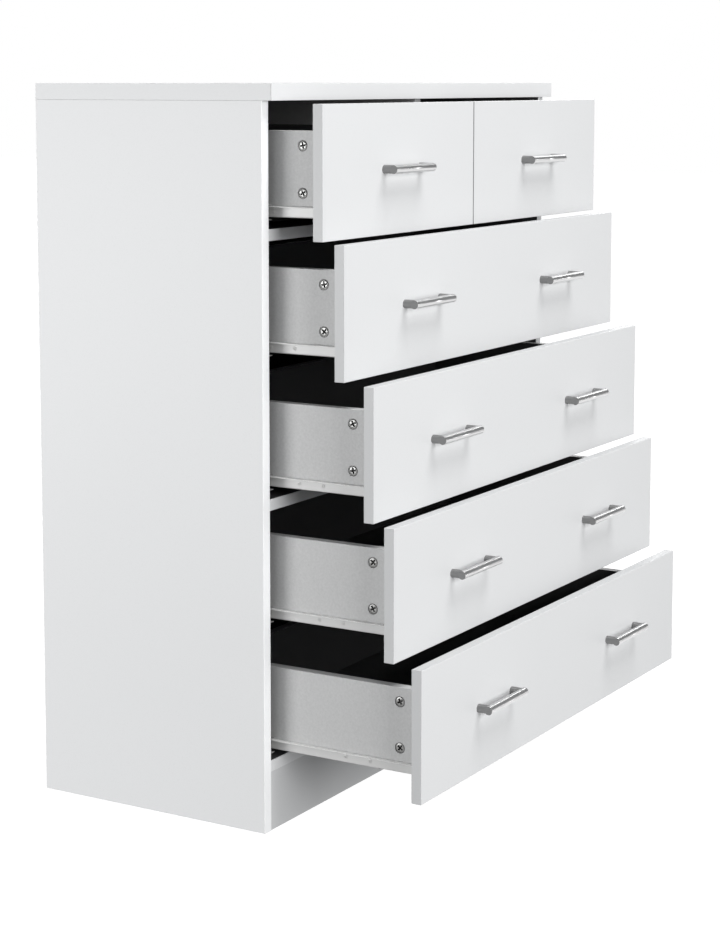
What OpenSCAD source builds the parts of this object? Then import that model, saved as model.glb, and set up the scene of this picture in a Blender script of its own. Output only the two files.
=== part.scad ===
// Tall chest of drawers: two small drawers side by side above four full-width ones.
// Flat-pack board construction with cam fixings, roller runners and mitred bar handles.
// X runs along the front, Y from front to back and Z up. The origin is on the floor, at the
// middle of the box that the chest fills with its drawers standing open as set below.

/* [Overall size] */
// Width over the two side panels
width = 850; // [700:5:1100]
// Depth from the back edges to the front edge of the top panel
depth = 400; // [320:5:560]
// Height from the floor to the top face
height = 1030; // [850:5:1300]

/* [Carcass] */
// Thickness of the top panel
top_thickness = 23; // [16:1:32]
// Thickness of the side panels, base, plinth, cross rails and divider
board_thickness = 16; // [15:0.5:22]
// Thickness of the back panel and the drawer bottoms
hardboard_thickness = 3; // [2.5:0.5:5]
// Height of the plinth under the base panel
plinth_height = 84; // [60:1:140]
// How far the plinth stands behind the side panels' front edges
plinth_setback = 1; // [0:0.5:40]
// Depth of the two cross rails, from front to back
rail_depth = 80; // [50:5:140]
// Width of the rebate that takes the edge of the back panel
back_rebate = 8; // [6:0.5:10]

/* [Drawer fronts] */
// Thickness of the drawer fronts
front_thickness = 15; // [14:0.5:22]
// Gap between neighbouring drawer fronts
front_gap = 3; // [2:0.5:5]
// Gap between the top panel and the fronts below it
top_gap = 4; // [2:0.5:8]
// Gap between a closed front and the carcass
closing_gap = 1; // [0.5:0.5:3]

/* [Drawer boxes] */
// Thickness of the drawer sides and backs
box_board = 15; // [12.5:0.5:18]
// Drop from a front's top edge to its drawer sides' top edges
box_drop = 36; // [20:1:50]
// Rise from a front's lower edge to its drawer sides' lower edges
box_rise = 30; // [26:1:40]
// Rise from the drawer sides' lower edges to the drawer bottom
bottom_rise = 12; // [6:1:20]
// Depth of the grooves that hold the drawer bottom
groove_depth = 5; // [3:0.5:7]
// Space between a closed drawer box and the back panel
rear_space = 32; // [10:1:60]

/* [Open positions] */
// How far the two small top drawers stand open
open_top = 79; // [0:1:200]
// How far the second row's drawer stands open
open_second = 112; // [0:1:200]
// How far the third row's drawer stands open
open_third = 157; // [0:1:200]
// How far the fourth row's drawer stands open
open_fourth = 188; // [0:1:200]
// How far the fifth row's drawer stands open
open_fifth = 230; // [0:1:240]

/* [Runners] */
// Space between a drawer side and the carcass board beside it
runner_space = 13; // [12.5:0.5:16]
// Sheet thickness of the runners
runner_sheet = 1.2; // [1:0.1:1.5]
// Height of a drawer runner's web
runner_web = 15; // [13:0.5:18]
// Width of the foot that runs under a drawer side
runner_foot = 10; // [6:0.5:14]
// Diameter of the nylon rollers
roller_diameter = 16; // [14:0.5:20]
// Width of the nylon rollers
roller_width = 7; // [5:0.5:7]
// Diameter of the pins that the rollers turn on
roller_pin = 5; // [4:0.5:6]
// Distance from a runner's end to its roller's centre
roller_inset = 12; // [10:1:20]
// Radial clearance between a roller and its pin
pin_clearance = 0.05; // [0.02:0.01:0.1]
// Clearance between other moving faces
running_gap = 0.3; // [0.2:0.05:0.6]

/* [Handles] */
// Distance between the handle's two screws
handle_centres = 100; // [64:1:160]
// Diameter of the handle's round bar
handle_bar = 12; // [10:0.5:16]
// How far the handle stands out from the drawer front
handle_reach = 24; // [20:1:40]

/* [Fixings] */
// Diameter of a cam nut
cam_diameter = 15; // [12:1:15]
// Depth of a cam nut
cam_depth = 12; // [9:0.5:12.5]
// Distance from a board's end to the middle of its cam nuts
cam_reach = 34; // [24:1:34]
// Diameter of a cam bolt
cam_bolt = 6; // [5:0.5:7]
// Length of a cam bolt inside the board that it is screwed into
cam_bite = 10; // [8:0.5:11]
// Drop from the drawer sides' top edges to the upper cam nuts
cam_drop = 20; // [16:1:30]
// Rise from the drawer sides' lower edges to the lower cam nuts
cam_rise = 32; // [26:1:36]
// Clearance around a fixing in its hole
fixing_clearance = 0.05; // [0.02:0.01:0.2]

/* [Hidden] */
$fn = 48;
skin = 1; // how far a cutter runs past the face that it opens

WHITE = [0.93, 0.94, 0.95];
GREY_BOARD = [0.74, 0.75, 0.76];
DARK_BOARD = [0.13, 0.13, 0.14];
ZINC = [0.78, 0.79, 0.80];
NYLON = [0.88, 0.88, 0.86];
NICKEL = [0.68, 0.68, 0.67];

// Carcass, with y = 0 at the side panels' front edges
overhang = closing_gap + front_thickness;
carcass_depth = depth - overhang;
back_y = carcass_depth - hardboard_thickness;
inner_width = width - 2 * board_thickness;
top_z = height - top_thickness;

// Rows of drawers, counted from the top
ROWS = 5;
front_height = (top_z - top_gap - plinth_height - (ROWS - 1) * front_gap) / ROWS;
function front_z(row) = plinth_height + (ROWS - 1 - row) * (front_height + front_gap);
upper_rail_z = front_z(0) - front_gap;
lower_rail_z = front_z(2) - front_gap;
divider_z = upper_rail_z + board_thickness;

// Drawers: 0 and 1 are the small ones at the left and right of the top row
DRAWERS = ["upper_left_drawer", "upper_right_drawer", "second_drawer", "third_drawer", "fourth_drawer", "fifth_drawer"];
ALL = [0 : len(DRAWERS) - 1];
OPEN = [open_top, open_top, open_second, open_third, open_fourth, open_fifth];
function is_small(d) = d < 2;
function row_of(d) = is_small(d) ? 0 : d - 1;
function hand(d) = is_small(d) ? 2 * d - 1 : 0; // -1 left, 1 right, 0 full width
small_bay = (inner_width - board_thickness) / 2;
small_front = (width - front_gap) / 2;
function bay_width(d) = is_small(d) ? small_bay : inner_width;
function bay_x(d) = hand(d) * (board_thickness + small_bay) / 2;
function front_width(d) = is_small(d) ? small_front : width;
function front_x(d) = hand(d) * (front_gap + small_front) / 2;
function box_width(d) = bay_width(d) - 2 * runner_space;
box_length = back_y - rear_space + closing_gap;
side_height = front_height - box_drop - box_rise;

// Drawer bottom
groove_play = 0.1;
groove_height = hardboard_thickness + 2 * groove_play;
bottom_edge = groove_depth - 0.5; // how far the bottom reaches into a groove
box_back_z = bottom_rise + groove_height;

// Runners, measured outwards from a drawer side's face and up from its lower edge
web_top = runner_web - runner_sheet;
drawer_flange = 8.5; // reach of a drawer runner's upper flange
roller_z = web_top - runner_sheet - running_gap - roller_diameter / 2;
channel_floor = roller_z - roller_diameter / 2 - running_gap;
channel_ceiling = web_top + 1;
channel_web = runner_space - runner_sheet;
channel_lip = runner_sheet + 0.8; // where the cabinet runner's flanges end
channel_start = 2; // from the side panels' front edges
roller_play = 1.2; // from a roller to the web that carries it
pin_head = 0.9;
pin_head_diameter = roller_pin + 4;
front_roller_x = channel_web - roller_play - roller_width;
rear_roller_x = runner_sheet + roller_play;
rear_roller_y = box_length - roller_inset;

// Screws
runner_screw = 3.5;
runner_screw_bite = 7;
runner_screw_head = 6;
runner_screw_cap = 0.8;
CABINET_SCREWS = [60, box_length - 60]; // from the side panels' front edges
DRAWER_SCREWS = [80, 118, box_length - 60]; // from the drawer front's back face
box_screw = 3.8;
box_screw_length = 40;
box_screw_head = 7;
box_screw_sink = 2;
BOX_SCREWS = [cam_rise, side_height - cam_drop];
back_screw = 3;
back_screw_length = 18;
back_screw_head = 6;
back_screw_sink = 1.5;
handle_screw = 4;
handle_screw_bite = 9;
handle_screw_hole = 4.6;
handle_screw_head = 8;
handle_screw_cap = 2.4;
cross_length = 8;
cross_width = 1.7;
cross_depth = 2;

// Places of the carcass's cam fixings
cam_front_y = rail_depth / 2;
cam_rear_y = carcass_depth - 60;
CAM_DEPTHS = [cam_front_y, cam_rear_y];

// The box that the open chest fills is centred on the origin
open_depth = depth + handle_reach + max(OPEN);
carcass_y = open_depth / 2 - carcass_depth;
handle_end = (handle_centres + handle_bar) / 2;

CARCASS = [
    "top_panel", "left_side_panel", "right_side_panel", "centre_divider", "base_panel", "plinth",
    "upper_cross_rail", "lower_cross_rail", "back_panel", "cabinet_runners", "carcass_fixings",
    "back_panel_screws"
];
PIECES = ["_front", "_box", "_bottom", "_handles", "_runners", "_fixings", "_front_rollers", "_rear_rollers"];

// ---- Placing ----

// Puts carcass pieces where the chest stands.
module in_carcass() {
    translate([0, carcass_y, 0]) children();
}

// Puts a drawer's pieces at the middle of its bay, on its front's back face and lower edge.
module in_drawer(d) {
    translate([bay_x(d), carcass_y - closing_gap - OPEN[d], front_z(row_of(d))]) children();
}

// Repeats a right-hand piece at the left as its mirror image.
module both_sides() {
    children();
    mirror([1, 0, 0]) children();
}

// Along X from x = 0, for pins, screws and rollers.
module rod_x(diameter, length) {
    rotate([0, 90, 0]) cylinder(d = diameter, h = length);
}

// ---- Cam fixings: a cam nut in a board's face, and the bolt that it draws in ----
// The nut's face is at z = 0 and its bolt runs along +x, through the end of the board.

module cam_bolt_shape(board, clearance) {
    translate([0, 0, -board / 2]) rod_x(cam_bolt + 2 * clearance, cam_reach + cam_bite + clearance);
}

module cam_fixing(board, turn) {
    difference() {
        translate([0, 0, -cam_depth]) cylinder(d = cam_diameter, h = cam_depth);
        cam_bolt_shape(board, fixing_clearance);
        for (quarter = [0, 90])
            rotate([0, 0, turn + quarter])
                translate([-cross_length / 2, -cross_width / 2, -cross_depth])
                    cube([cross_length, cross_width, cross_depth + skin]);
    }
    cam_bolt_shape(board, 0);
}

module cam_holes(board) {
    translate([0, 0, -cam_depth - fixing_clearance])
        cylinder(d = cam_diameter + 2 * fixing_clearance, h = cam_depth + fixing_clearance + skin);
    cam_bolt_shape(board, fixing_clearance);
}

// Places of the carcass's cam nuts, each named for the board that holds them.
module at_base_cams() {
    both_sides() for (y = CAM_DEPTHS)
        translate([inner_width / 2 - cam_reach, y, plinth_height]) rotate([180, 0, 0]) children();
}

module at_rail_cams(rail_z) {
    both_sides() translate([inner_width / 2 - cam_reach, cam_front_y, rail_z]) rotate([180, 0, 0]) children();
}

module at_plinth_cams() {
    both_sides()
        translate([inner_width / 2 - cam_reach, plinth_setback + board_thickness, plinth_height / 2])
            rotate([-90, 0, 0]) children();
}

module at_side_cams() {
    both_sides() for (y = CAM_DEPTHS)
        translate([inner_width / 2, y, top_z - cam_reach]) rotate([0, -90, 0]) children();
}

module at_divider_top_cams() {
    for (y = CAM_DEPTHS)
        translate([-board_thickness / 2, y, top_z - cam_reach]) rotate([0, -90, 0]) children();
}

module at_divider_foot_cam() {
    translate([-board_thickness / 2, cam_front_y, divider_z + cam_reach])
        mirror([0, 0, 1]) rotate([0, -90, 0]) children();
}

module carcass_fixings() {
    color(ZINC) in_carcass() {
        at_base_cams() cam_fixing(board_thickness, 20);
        at_rail_cams(upper_rail_z) cam_fixing(board_thickness, 35);
        at_rail_cams(lower_rail_z) cam_fixing(board_thickness, 10);
        at_plinth_cams() cam_fixing(board_thickness, 25);
        at_side_cams() cam_fixing(board_thickness, 15);
        at_divider_top_cams() cam_fixing(board_thickness, 30);
        at_divider_foot_cam() cam_fixing(board_thickness, 5);
    }
}

// ---- Carcass boards ----

module back_panel_board() {
    translate([-inner_width / 2 - back_rebate, back_y, plinth_height])
        cube([inner_width + 2 * back_rebate, hardboard_thickness, top_z + back_rebate - plinth_height]);
}

// Screws along the back panel's edges, pointing forwards from its back face.
module at_back_screws() {
    side_x = (inner_width + back_rebate) / 2;
    low_z = plinth_height + board_thickness / 2;
    high_z = top_z + back_rebate / 2;
    both_sides() for (step = [1 : 5])
        translate([side_x, carcass_depth, low_z + (high_z - low_z) * step / 6]) children();
    for (step = [-1.5 : 1 : 1.5]) for (z = [low_z, high_z])
        translate([step * inner_width / 4, carcass_depth, z]) children();
}

module back_screw_shape(clearance) {
    rotate([90, 0, 0]) {
        cylinder(d = back_screw + 2 * clearance, h = back_screw_length + clearance);
        translate([0, 0, -clearance])
            cylinder(d = back_screw_head + 2 * clearance, h = back_screw_sink + 2 * clearance);
    }
}

module back_panel() {
    color(DARK_BOARD) in_carcass() difference() {
        back_panel_board();
        at_back_screws() back_screw_shape(fixing_clearance);
    }
}

module back_panel_screws() {
    color(ZINC) in_carcass() at_back_screws() back_screw_shape(0);
}

module top_panel() {
    color(WHITE) in_carcass() difference() {
        translate([-width / 2, -overhang, top_z]) cube([width, depth, top_thickness]);
        translate([-inner_width / 2 - back_rebate, back_y, top_z - skin])
            cube([inner_width + 2 * back_rebate, hardboard_thickness + skin, back_rebate + skin]);
        at_side_cams() cam_holes(board_thickness);
        at_divider_top_cams() cam_holes(board_thickness);
        at_back_screws() back_screw_shape(fixing_clearance);
    }
}

// The right-hand side panel; the left one is its mirror image.
module side_board() {
    difference() {
        translate([inner_width / 2, 0, 0]) cube([board_thickness, carcass_depth, top_z]);
        translate([inner_width / 2 - skin, back_y, -skin])
            cube([back_rebate + skin, hardboard_thickness + skin, top_z + 2 * skin]);
        at_base_cams() cam_holes(board_thickness);
        at_rail_cams(upper_rail_z) cam_holes(board_thickness);
        at_rail_cams(lower_rail_z) cam_holes(board_thickness);
        at_plinth_cams() cam_holes(board_thickness);
        at_side_cams() cam_holes(board_thickness);
        at_back_screws() back_screw_shape(fixing_clearance);
        at_cabinet_screws() runner_screw_shape(fixing_clearance);
    }
}

module left_side_panel() {
    color(WHITE) in_carcass() mirror([1, 0, 0]) side_board();
}

module right_side_panel() {
    color(WHITE) in_carcass() side_board();
}

module centre_divider() {
    color(DARK_BOARD) in_carcass() difference() {
        translate([-board_thickness / 2, 0, divider_z]) cube([board_thickness, back_y, top_z - divider_z]);
        at_divider_top_cams() cam_holes(board_thickness);
        at_divider_foot_cam() cam_holes(board_thickness);
        at_cabinet_screws() runner_screw_shape(fixing_clearance);
    }
}

module base_panel() {
    color(WHITE) in_carcass() difference() {
        translate([-inner_width / 2, 0, plinth_height]) cube([inner_width, back_y, board_thickness]);
        at_base_cams() cam_holes(board_thickness);
        at_back_screws() back_screw_shape(fixing_clearance);
    }
}

module plinth() {
    color(WHITE) in_carcass() difference() {
        translate([-inner_width / 2, plinth_setback, 0]) cube([inner_width, board_thickness, plinth_height]);
        at_plinth_cams() cam_holes(board_thickness);
    }
}

module cross_rail(rail_z) {
    in_carcass() difference() {
        translate([-inner_width / 2, 0, rail_z]) cube([inner_width, rail_depth, board_thickness]);
        at_rail_cams(rail_z) cam_holes(board_thickness);
        at_divider_foot_cam() cam_holes(board_thickness);
    }
}

module upper_cross_rail() {
    color(WHITE) cross_rail(upper_rail_z);
}

module lower_cross_rail() {
    color(WHITE) cross_rail(lower_rail_z);
}

// ---- Runners ----
// Drawn for a bay's right-hand side, from the drawer side's outer face outwards.

module cabinet_runner() {
    channel_height = channel_ceiling - channel_floor + 2 * runner_sheet;
    difference() {
        union() {
            translate([channel_web, channel_start, channel_floor - runner_sheet])
                cube([runner_sheet, box_length, channel_height]);
            for (z = [channel_floor - runner_sheet, channel_ceiling])
                translate([channel_lip, channel_start, z])
                    cube([runner_space - channel_lip, box_length, runner_sheet]);
            translate([0, channel_start + roller_inset, roller_z]) {
                head_x = front_roller_x - running_gap - pin_head;
                translate([head_x, 0, 0]) rod_x(roller_pin, channel_web - head_x);
                translate([head_x, 0, 0]) rod_x(pin_head_diameter, pin_head);
            }
        }
        for (y = CABINET_SCREWS)
            translate([channel_web - skin, y, roller_z])
                rod_x(runner_screw + 2 * fixing_clearance, runner_sheet + 2 * skin);
    }
}

// A screw with its flat head against a runner's web, pointing along +x into the board.
module runner_screw_shape(clearance) {
    translate([-clearance, 0, 0]) rod_x(runner_screw + 2 * clearance, runner_sheet + runner_screw_bite + 2 * clearance);
    if (clearance == 0) translate([-runner_screw_cap, 0, 0]) rod_x(runner_screw_head, runner_screw_cap);
}

// Both sides of one drawer's bay, at the level of its drawer sides' lower edges.
module in_bay(d) {
    translate([bay_x(d), 0, front_z(row_of(d)) + box_rise])
        both_sides() translate([box_width(d) / 2, 0, 0]) children();
}

module at_cabinet_screws() {
    for (d = ALL) in_bay(d) for (y = CABINET_SCREWS) translate([channel_web, y, roller_z]) children();
}

module cabinet_runners() {
    color(ZINC) in_carcass() {
        for (d = ALL) in_bay(d) cabinet_runner();
        at_cabinet_screws() runner_screw_shape(0);
    }
}

module drawer_runner() {
    difference() {
        union() {
            translate([-runner_foot, 0, -runner_sheet])
                cube([runner_foot + runner_sheet, box_length, runner_sheet]);
            translate([0, 0, -runner_sheet]) cube([runner_sheet, box_length, runner_web]);
            translate([0, 0, web_top - runner_sheet]) cube([drawer_flange, box_length, runner_sheet]);
            translate([0, rear_roller_y, roller_z]) {
                head_x = rear_roller_x + roller_width + running_gap;
                rod_x(roller_pin, head_x + pin_head);
                translate([head_x, 0, 0]) rod_x(pin_head_diameter, pin_head);
            }
        }
        for (y = DRAWER_SCREWS)
            translate([-skin, y, web_top / 2]) rod_x(runner_screw + 2 * fixing_clearance, runner_sheet + 2 * skin);
    }
}

// The drawer's own screws run inwards, from the outer face of its runner's web.
module at_drawer_screws() {
    for (y = DRAWER_SCREWS) translate([runner_sheet, y, web_top / 2]) mirror([1, 0, 0]) children();
}

module roller() {
    difference() {
        rod_x(roller_diameter, roller_width);
        translate([-skin, 0, 0]) rod_x(roller_pin + 2 * pin_clearance, roller_width + 2 * skin);
    }
}

// The cabinet's pair of rollers, which carry the drawer's runners.
module front_rollers(d) {
    color(NYLON) in_carcass() in_bay(d)
        translate([front_roller_x, channel_start + roller_inset, roller_z]) roller();
}

// ---- Drawers ----

// Both sides of one drawer's box, at its sides' outer faces and lower edges.
module on_box(d) {
    translate([0, 0, box_rise]) both_sides() translate([box_width(d) / 2, 0, 0]) children();
}

// The pair of rollers on a drawer's own runners.
module rear_rollers(d) {
    color(NYLON) in_drawer(d) on_box(d) translate([rear_roller_x, rear_roller_y, roller_z]) roller();
}

module runners(d) {
    color(ZINC) in_drawer(d) on_box(d) drawer_runner();
}

// Cam nuts in the drawer side's outer face, with their bolts running forwards into the front.
module at_box_cams() {
    for (z = [cam_rise, side_height - cam_drop])
        translate([0, cam_reach, z]) rotate([-90, 0, 0]) rotate([0, 90, 0]) children();
}

// Screws through a drawer side into the end of the drawer back.
module at_box_screws() {
    for (z = BOX_SCREWS) translate([0, box_length - box_board / 2, z]) mirror([1, 0, 0]) children();
}

module box_screw_shape(clearance) {
    rod_x(box_screw + 2 * clearance, box_screw_length + clearance);
    translate([-clearance, 0, 0]) rod_x(box_screw_head + 2 * clearance, box_screw_sink + 2 * clearance);
}

// The places where a drawer's handles are fixed, on its front's outer face.
module at_handles(d) {
    handle_x = is_small(d) ? [front_x(d) - bay_x(d)] : [front_x(0), front_x(1)];
    for (x = handle_x) translate([x, -front_thickness, front_height / 2]) children();
}

module at_handle_screws() {
    for (x = [-handle_centres / 2, handle_centres / 2]) translate([x, front_thickness, 0]) rotate([90, 0, 0]) children();
}

module front(d) {
    color(WHITE) in_drawer(d) difference() {
        translate([front_x(d) - bay_x(d) - front_width(d) / 2, -front_thickness, 0])
            cube([front_width(d), front_thickness, front_height]);
        translate([-box_width(d) / 2 + box_board - groove_depth, -groove_depth, box_rise + bottom_rise])
            cube([box_width(d) - 2 * box_board + 2 * groove_depth, groove_depth + skin, groove_height]);
        on_box(d) at_box_cams() cam_holes(box_board);
        at_handles(d) at_handle_screws()
            translate([0, 0, -skin]) cylinder(d = handle_screw_hole, h = front_thickness + 2 * skin);
    }
}

module box_side() {
    difference() {
        translate([-box_board, 0, 0]) cube([box_board, box_length, side_height]);
        translate([-box_board - skin, -skin, bottom_rise])
            cube([groove_depth + skin, box_length + 2 * skin, groove_height]);
        at_box_cams() cam_holes(box_board);
        at_box_screws() box_screw_shape(fixing_clearance);
        at_drawer_screws() runner_screw_shape(fixing_clearance);
    }
}

module box_back(d) {
    back_width = box_width(d) - 2 * box_board;
    difference() {
        translate([-back_width / 2, box_length - box_board, box_rise + box_back_z])
            cube([back_width, box_board, side_height - box_back_z]);
        on_box(d) at_box_screws() box_screw_shape(fixing_clearance);
    }
}

module box(d) {
    color(GREY_BOARD) in_drawer(d) {
        on_box(d) box_side();
        box_back(d);
    }
}

module bottom(d) {
    bottom_width = box_width(d) - 2 * box_board + 2 * bottom_edge;
    color(DARK_BOARD) in_drawer(d)
        translate([-bottom_width / 2, -bottom_edge, box_rise + bottom_rise + groove_play])
            cube([bottom_width, bottom_edge + box_length, hardboard_thickness]);
}

module fixings(d) {
    color(ZINC) in_drawer(d) on_box(d) {
        at_box_cams() cam_fixing(box_board, 40);
        at_box_screws() box_screw_shape(0);
        at_drawer_screws() runner_screw_shape(0);
    }
}

// One handle: a round bar between two legs, mitred at the corners and bored for its screws.
module handle() {
    reach = -handle_reach;
    inner = handle_end - handle_bar;
    difference() {
        union() {
            intersection() {
                translate([-handle_end, reach + handle_bar / 2, 0]) rod_x(handle_bar, 2 * handle_end);
                linear_extrude(height = 2 * handle_bar, center = true)
                    polygon([
                        [-handle_end, reach], [handle_end, reach],
                        [inner, reach + handle_bar], [-inner, reach + handle_bar]
                    ]);
            }
            both_sides() intersection() {
                translate([handle_centres / 2, 0, 0]) rotate([90, 0, 0]) cylinder(d = handle_bar, h = handle_reach);
                linear_extrude(height = 2 * handle_bar, center = true)
                    polygon([[inner, 0], [handle_end, 0], [handle_end, reach], [inner, reach + handle_bar]]);
            }
        }
        at_handle_screws()
            cylinder(d = handle_screw + 2 * fixing_clearance, h = front_thickness + handle_screw_bite + 1);
    }
}

module handles(d) {
    color(NICKEL) in_drawer(d) at_handles(d) {
        handle();
        at_handle_screws() {
            cylinder(d = handle_screw, h = front_thickness + handle_screw_bite);
            translate([0, 0, -handle_screw_cap]) cylinder(d = handle_screw_head, h = handle_screw_cap);
        }
    }
}

// ---- Nodes ----

top_panel();
left_side_panel();
right_side_panel();
centre_divider();
base_panel();
plinth();
upper_cross_rail();
lower_cross_rail();
back_panel();
cabinet_runners();
carcass_fixings();
back_panel_screws();
for (d = ALL) {
    front(d);
    box(d);
    bottom(d);
    handles(d);
    runners(d);
    fixings(d);
    front_rollers(d);
    rear_rollers(d);
}
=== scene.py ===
import math
import bpy
from mathutils import Matrix, Vector


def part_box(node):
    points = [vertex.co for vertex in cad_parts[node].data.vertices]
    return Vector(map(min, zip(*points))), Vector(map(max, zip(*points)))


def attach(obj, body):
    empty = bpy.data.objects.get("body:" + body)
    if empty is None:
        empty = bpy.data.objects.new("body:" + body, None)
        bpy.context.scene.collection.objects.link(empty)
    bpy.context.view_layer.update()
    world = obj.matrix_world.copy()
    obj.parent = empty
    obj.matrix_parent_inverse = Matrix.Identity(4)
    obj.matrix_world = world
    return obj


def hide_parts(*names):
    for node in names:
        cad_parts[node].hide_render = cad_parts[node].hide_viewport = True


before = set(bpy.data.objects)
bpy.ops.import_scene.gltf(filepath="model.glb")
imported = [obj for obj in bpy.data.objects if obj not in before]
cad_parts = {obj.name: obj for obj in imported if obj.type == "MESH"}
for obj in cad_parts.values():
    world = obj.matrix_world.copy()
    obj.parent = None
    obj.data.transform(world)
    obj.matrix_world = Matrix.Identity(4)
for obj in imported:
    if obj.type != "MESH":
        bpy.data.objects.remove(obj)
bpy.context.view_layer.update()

MM = 0.001

# ---- Camera ----
# It stands to the left and in front of the chest, level with its top, and looks
# slightly down through a long lens.
bpy.ops.object.camera_add(
    location=(-2.832, -1.643, 1.032),
    rotation=(math.radians(83.81), 0, math.radians(-59.22)),
)
camera = bpy.context.object
camera.name = "camera"
camera.data.lens = 83.64
camera.data.sensor_width = 36
camera.data.shift_y = -0.16
camera.data.clip_end = 60
bpy.context.scene.camera = camera

# ---- Studio ----
# A white cyclorama: a pale floor, an even room, and soft lights overhead, in front, behind
# to the left and, for the gleam on the handles, behind to the right.
scene = bpy.context.scene
scene.view_settings.view_transform = "Standard"
scene.view_settings.look = "None"

room = bpy.data.worlds.new("white_room")
room.use_nodes = True
scene.world = room
room_nodes = room.node_tree.nodes
room_light = room_nodes["Background"]
room_light.inputs["Color"].default_value = (0.97, 0.985, 1, 1)
room_light.inputs["Strength"].default_value = 0.27
backdrop = room_nodes.new("ShaderNodeBackground")
backdrop.inputs["Color"].default_value = (1, 1, 1, 1)
seen = room_nodes.new("ShaderNodeLightPath")
choice = room_nodes.new("ShaderNodeMixShader")
room_links = room.node_tree.links
room_links.new(seen.outputs["Is Camera Ray"], choice.inputs[0])
room_links.new(room_light.outputs[0], choice.inputs[1])
room_links.new(backdrop.outputs[0], choice.inputs[2])
room_links.new(choice.outputs[0], room_nodes["World Output"].inputs["Surface"])


def softbox(name, place, aim, width, height, power):
    bpy.ops.object.light_add(type="AREA", location=place)
    light = bpy.context.object
    light.name = name
    light.data.shape = "RECTANGLE"
    light.data.size = width
    light.data.size_y = height
    light.data.energy = power
    light.rotation_euler = (Vector(aim) - Vector(place)).to_track_quat("-Z", "Y").to_euler()


softbox("overhead_light", (0.2, -1.6, 5.0), (0, 0, 0.4), 2.8, 2.8, 215)
softbox("front_light", (-1.75, -4.6, 1.4), (0, 0, 0.5), 2.2, 2.2, 160)
softbox("left_light", (-4.2, 2.9, 0.6), (0, 0, 0.5), 2.4, 1.2, 158)
softbox("right_light", (4.6, 1.0, 2.6), (0, 0, 0.5), 2.6, 1.6, 70)


# ---- Side panels ----
# Two upright boards of particle board faced with white melamine, with a plastic band on the front
# edges painted brighter as painted light, charcoal inside as painted shade, and raw board on the
# edges that don't show.
class Signal:
    """A value in a finish. Arithmetic on it adds Math nodes."""

    def __init__(self, finish, socket):
        self.finish = finish
        self.socket = socket

    def maths(self, operation, first, second):
        return self.finish.node("ShaderNodeMath", {"operation": operation}, {0: first, 1: second})

    def __add__(self, other):
        return self.maths("ADD", self, other)

    def __sub__(self, other):
        return self.maths("SUBTRACT", self, other)

    def __rsub__(self, other):
        return self.maths("SUBTRACT", other, self)

    def __mul__(self, other):
        return self.maths("MULTIPLY", self, other)

    __radd__ = __add__
    __rmul__ = __mul__

    def above(self, level):
        return self.maths("GREATER_THAN", self, level)


class Finish:
    """A surface finish on one Principled shader, with patterns in the object's own metres."""

    def __init__(self, name, colour, **constants):
        self.material = bpy.data.materials.new(name)
        self.material.use_nodes = True
        self.material.diffuse_color = (*colour, 1)
        self.tree = self.material.node_tree
        self.shader = self.tree.nodes["Principled BSDF"]
        self.shader.inputs["Base Color"].default_value = (*colour, 1)
        for socket, value in constants.items():
            self.shader.inputs[socket.replace("_", " ")].default_value = value
        self.place = self.node("ShaderNodeTexCoord", output="Object")

    def node(self, kind, settings=None, inputs=None, output=0):
        made = self.tree.nodes.new(kind)
        for key, value in (settings or {}).items():
            setattr(made, key, value)
        for socket, value in (inputs or {}).items():
            self.feed(made.inputs[socket], value)
        return Signal(self, made.outputs[output])

    def feed(self, socket, value):
        if isinstance(value, Signal):
            self.tree.links.new(value.socket, socket)
        else:
            socket.default_value = value

    def noise(self, scale, detail=2, stretch=None):
        place = self.place
        if stretch:
            place = self.node("ShaderNodeMapping", {}, {"Vector": place, "Scale": stretch})
        return self.node(
            "ShaderNodeTexNoise", {}, {"Vector": place, "Scale": scale, "Detail": detail}
        )

    def mix(self, share, first, second):
        return self.node(
            "ShaderNodeMix", {"data_type": "RGBA"}, {0: share, 6: first, 7: second}, output=2
        )

    def surface(self, **signals):
        for socket, signal in signals.items():
            self.feed(self.shader.inputs[socket.replace("_", " ")], signal)

    def relief(self, height, depth):
        bump = self.node("ShaderNodeBump", {}, {"Height": height, "Distance": depth})
        self.feed(self.shader.inputs["Normal"], bump)


def shade(colour, factor):
    return (*[min(1, channel * factor) for channel in colour], 1)


def faced_board(name, colour, gloss=0.42, drift=0.02, speck=0.03, grain=0.01):
    """Melamine or foil on board: a slow drift of tone, a fine fleck and a soft orange peel."""
    finish = Finish(name, colour, Specular_IOR_Level=0.15)
    cloud = finish.noise(2.6, 3)
    fleck = finish.noise(620, 2)
    tone = finish.mix(cloud, shade(colour, 1 - drift), shade(colour, 1 + drift))
    tone = finish.mix((fleck - 0.62).above(0) * speck * 8, tone, shade(colour, 0.9))
    if grain > 0.02:
        mottle = finish.noise(330, 3)
        tone = finish.mix((mottle - 0.5) * 1.6 + 0.5, tone, shade(colour, 1 - grain * 2))
    peel = finish.noise(260, 3)
    finish.surface(Base_Color=tone, Roughness=gloss + (cloud - 0.5) * 0.08 + (peel - 0.5) * 0.06)
    finish.relief(peel + fleck * 0.4, 0.00004)
    return finish


side_white = faced_board("side_white_melamine", (0.715, 0.72, 0.725))
# The side panels' front edge band takes a brighter white than the melamine: painted light.
edge_band_painted_light = faced_board("side_edge_band_painted_light", (0.92, 0.925, 0.93), gloss=0.35)
# Charcoal on the inside faces of the carcass and drawer boards is painted shade; on the drawer
# bottoms it is their own dark board.
charcoal = faced_board("charcoal_and_painted_shade", (0.10, 0.10, 0.102), gloss=0.6, drift=0.12, speck=0.1)
raw_board = Finish("raw_particle_board", (0.46, 0.36, 0.24), Roughness=0.85)
chips = raw_board.noise(420, 3, stretch=(1, 0.5, 0.5))
raw_board.surface(Base_Color=raw_board.mix(chips, (0.26, 0.19, 0.12, 1), (0.62, 0.50, 0.36, 1)))
raw_board.relief(chips, 0.0003)


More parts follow.
